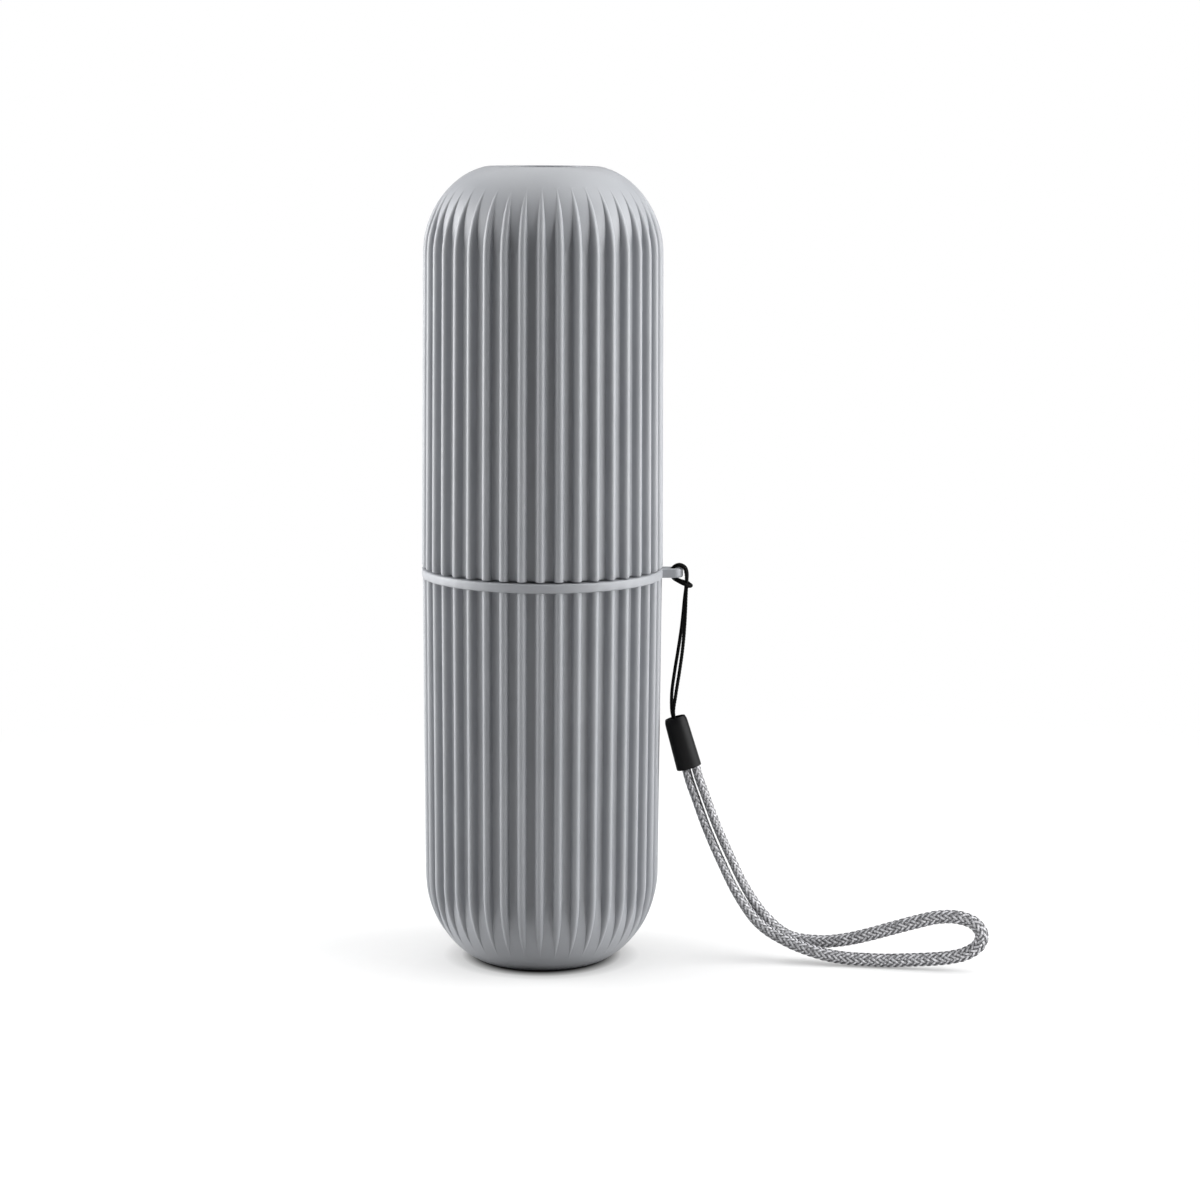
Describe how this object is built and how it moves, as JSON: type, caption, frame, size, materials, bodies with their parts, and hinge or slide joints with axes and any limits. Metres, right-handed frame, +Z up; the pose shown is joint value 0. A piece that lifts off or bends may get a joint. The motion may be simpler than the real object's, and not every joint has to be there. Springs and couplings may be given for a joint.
{
  "type": "travel toothbrush case",
  "caption": "Capsule-shaped ribbed travel toothbrush case: a cup with a push-on lid over its collar, and a wrist lanyard hitched to a lug on the cup's flange.",
  "frame": {"origin": "on the case's axis, in the plane of the foot ring that the cup stands on", "axes": "+Z up along the case's axis, towards the lid; +X from the axis towards the lug"},
  "size_m": [0.1462, 0.0622, 0.205],
  "materials": {
    "case_plastic": "satin cool grey moulded plastic",
    "loop_cord": "thin black braided cord",
    "sleeve_plastic": "black moulded sleeve, satin",
    "wrist_braid": "silver-grey round braid"
  },
  "bodies": {
    "cup_body": {"cup": "case_plastic"},
    "lid_body": {"lid": "case_plastic"},
    "lanyard_body": {"loop_cord": "loop_cord", "cord_sleeve": "sleeve_plastic", "wrist_cord": "wrist_braid"}
  },
  "joints": [
    {"name": "lid_lift", "type": "slide", "parent": "cup_body", "child": "lid_body", "axis": [0, 0, 1], "range_m": [0, 0.12]},
    {"name": "lanyard_swing", "type": "hinge", "parent": "cup_body", "child": "lanyard_body", "pos_m": [0.03544, -0.00031, 0.1014], "axis": [-0.1908, -0.9816, 0], "range_deg": [0, 110]}
  ]
}
